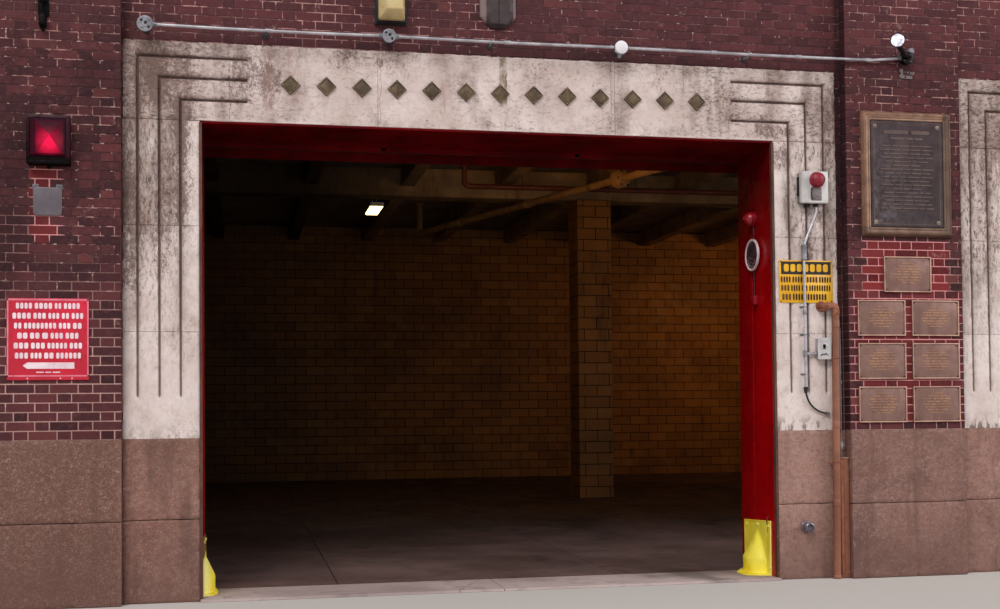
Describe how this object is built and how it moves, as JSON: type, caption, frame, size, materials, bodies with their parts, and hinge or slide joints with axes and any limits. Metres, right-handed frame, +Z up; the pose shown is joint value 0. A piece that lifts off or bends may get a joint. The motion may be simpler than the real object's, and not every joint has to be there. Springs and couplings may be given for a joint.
{
  "type": "fire station building",
  "caption": "Brick fire station with two wide stone-framed doorways for fire engines, a granite base, two upper storeys of sash windows and a flat roof behind a parapet.",
  "frame": {"origin": "centre of the building's bounding box, on the ground", "axes": "+X to the right facing the front, +Y from the front to the rear, +Z up; the front faces -Y"},
  "size_m": [15.24, 17.0392, 14.05],
  "materials": {
    "granite": "matte",
    "brick": "matte",
    "limestone": "matte",
    "red_steel": "gloss",
    "yellow_steel": "satin",
    "concrete": "matte",
    "roofing": "matte",
    "wall_tile": "gloss",
    "window_wood": "satin",
    "window_glass": "gloss",
    "bronze": "satin",
    "galvanized": "satin",
    "grey_enamel": "satin",
    "cream_enamel": "satin",
    "grey_metal": "matte",
    "black_iron": "matte",
    "red_lamp": "gloss",
    "sign_red": "satin",
    "sign_yellow": "satin",
    "brown_pipe": "satin",
    "lamp_glass": "satin"
  },
  "bodies": {
    "root": {"granite_base": "granite", "end_brick_piers": "brick", "centre_brick_pier": "brick", "upper_front_walls": "brick", "doorway_jamb_stones": "limestone", "doorway_lintel_stones": "limestone", "door_jamb_linings": "red_steel", "door_head_linings": "red_steel", "jamb_guards": "yellow_steel", "party_walls": "brick", "rear_wall": "brick", "apparatus_floor": "concrete", "second_floor": "concrete", "third_floor": "concrete", "roof_deck": "roofing", "front_coping": "limestone", "side_copings": "limestone", "rear_coping": "limestone", "front_window_frames": "window_wood", "front_window_glass": "window_glass", "front_window_stones": "limestone", "rear_window_frames": "window_wood", "rear_window_glass": "window_glass", "rear_window_stones": "limestone", "wall_tiling": "wall_tile", "tiled_column": "wall_tile", "ceiling_beams": "concrete", "ceiling_pipes": "brown_pipe", "ceiling_lights": "lamp_glass", "front_conduit": "galvanized", "floodlight": "black_iron", "wall_lamp": "cream_enamel", "wall_shield": "grey_metal", "fire_lamp": "red_lamp", "cover_plate": "grey_metal", "red_sign_panel": "sign_red", "alarm_box": "grey_enamel", "outlet_box": "grey_enamel", "alarm_conduit": "galvanized", "yellow_sign_panel": "sign_yellow", "downpipes": "brown_pipe", "hose_outlet": "galvanized", "jamb_bell": "red_steel", "jamb_disc": "grey_enamel", "large_plaque": "bronze", "small_plaques": "bronze", "wall_bracket": "black_iron", "lintel_ornaments": "bronze"}
  },
  "joints": []
}
